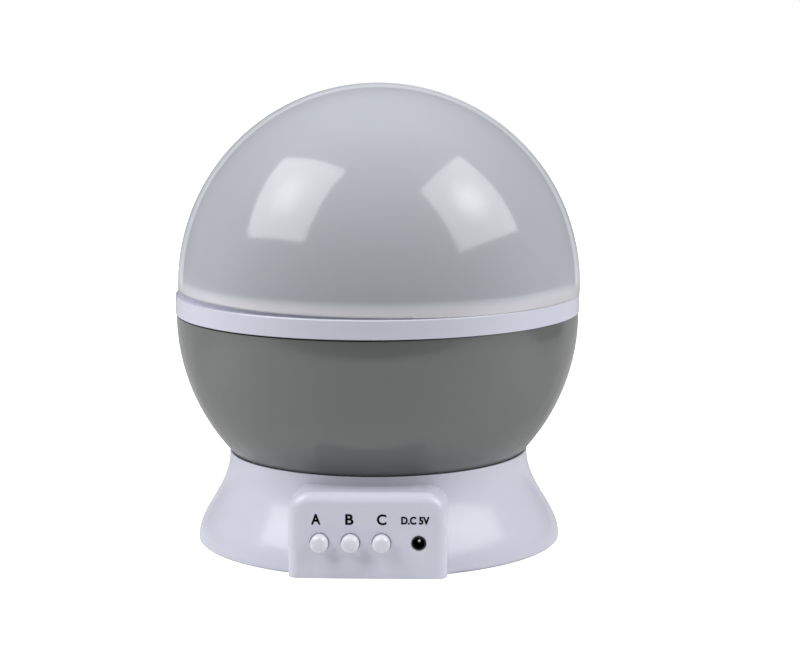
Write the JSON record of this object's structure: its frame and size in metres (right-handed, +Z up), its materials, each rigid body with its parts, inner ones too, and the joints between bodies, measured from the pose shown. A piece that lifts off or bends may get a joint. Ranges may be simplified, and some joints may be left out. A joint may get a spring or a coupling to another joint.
{
  "type": "planetarium projector",
  "caption": "Rotating star projector night light: a milky dome over a pierced star mask, on a bowl that a geared motor turns, and a flared base with a front control box.",
  "frame": {"origin": "centre of the four feet, on the table, under the axis that the globe turns about", "axes": "+Z up along the globe's axis; -Y out of the control box; +X to the right of the box seen from the front"},
  "size_m": [0.1246, 0.1246, 0.1413],
  "materials": {
    "white_shell": "gloss",
    "white_ring": "gloss",
    "grey_bowl": "gloss",
    "milky_dome": "translucent gloss",
    "dark_mask": "satin",
    "button_caps": "gloss",
    "inner_white": "satin",
    "bearing_plastic": "satin",
    "gear_plastic": "satin",
    "rubber_feet": "matte",
    "steel_screws": "zinc plated",
    "spring_steel": "bright",
    "plated_contact": "nickel plated",
    "plated_pin": "nickel plated",
    "motor_can": "satin",
    "cell_can": "printed sleeve",
    "circuit_board": "solder mask",
    "lamp_board": "white solder mask",
    "black_parts": "moulded",
    "lead_insulation": "vinyl",
    "lamp_lens": "clear epoxy"
  },
  "bodies": {
    "base": {"base_shell": "white_shell", "bottom_cover": "white_shell", "rubber_feet": "rubber_feet", "cover_screws": "steel_screws", "retaining_clip": "spring_steel", "thrust_washer": "bearing_plastic", "lamp_post": "inner_white", "control_board": "circuit_board", "control_chip": "black_parts", "dc_jack": "black_parts", "dc_jack_pin": "plated_pin", "battery_springs": "plated_contact", "battery_contacts": "plated_contact", "gear_motor": "motor_can", "motor_screws": "steel_screws", "led_board": "lamp_board", "led_bezel": "inner_white", "led_leads": "lead_insulation", "motor_leads": "lead_insulation", "battery_leads": "lead_insulation", "push_switch_a": "black_parts", "push_switch_b": "black_parts", "push_switch_c": "black_parts", "aaa_cell_1": "cell_can", "aaa_cell_2": "cell_can", "aaa_cell_3": "cell_can", "aaa_cell_4": "cell_can", "led_white": "lamp_lens", "led_red": "lamp_lens", "led_green": "lamp_lens", "led_blue": "lamp_lens", "led_amber": "lamp_lens"},
    "globe": {"lower_bowl": "grey_bowl", "middle_ring": "white_ring", "turntable_gear": "gear_plastic", "hub_bush": "bearing_plastic", "gear_screws": "steel_screws", "reflector_plate": "inner_white", "globe_screws": "steel_screws"},
    "drive": {"drive_pinion": "gear_plastic", "motor_shaft": "spring_steel"},
    "mask": {"star_mask": "dark_mask"},
    "dome": {"milky_dome": "milky_dome"},
    "door": {"battery_door": "white_shell"},
    "button_a": {"button_cap_a": "button_caps", "switch_plunger_a": "button_caps"},
    "button_b": {"button_cap_b": "button_caps", "switch_plunger_b": "button_caps"},
    "button_c": {"button_cap_c": "button_caps", "switch_plunger_c": "button_caps"}
  },
  "joints": [
    {"name": "globe_spin", "type": "hinge", "parent": "base", "child": "globe", "pos_m": [0, 0, 0.027], "axis": [0, 0, 1], "continuous": true},
    {"name": "pinion_spin", "type": "hinge", "parent": "base", "child": "drive", "pos_m": [-0.02365, -0.02819, 0.018], "axis": [0, 0, 1], "continuous": true},
    {"name": "mask_lift", "type": "slide", "parent": "globe", "child": "mask", "axis": [0, 0, 1], "range_m": [0, 0.07]},
    {"name": "dome_lift", "type": "slide", "parent": "mask", "child": "dome", "axis": [0, 0, 1], "range_m": [0, 0.07]},
    {"name": "door_hinge", "type": "hinge", "parent": "base", "child": "door", "pos_m": [0, -0.0155, 0.00175], "axis": [-1, 0, 0], "range_deg": [0, 50]},
    {"name": "button_a_press", "type": "slide", "parent": "base", "child": "button_a", "axis": [0, 1, 0], "range_m": [0, 0.0012], "stiffness_N_per_m": 800, "springref_m": -0.0005},
    {"name": "button_b_press", "type": "slide", "parent": "base", "child": "button_b", "axis": [0, 1, 0], "range_m": [0, 0.0012], "stiffness_N_per_m": 800, "springref_m": -0.0005},
    {"name": "button_c_press", "type": "slide", "parent": "base", "child": "button_c", "axis": [0, 1, 0], "range_m": [0, 0.0012], "stiffness_N_per_m": 800, "springref_m": -0.0005}
  ],
  "couplings": [
    {"joint": "pinion_spin", "follows": "globe_spin", "ratio": -4.75}
  ]
}
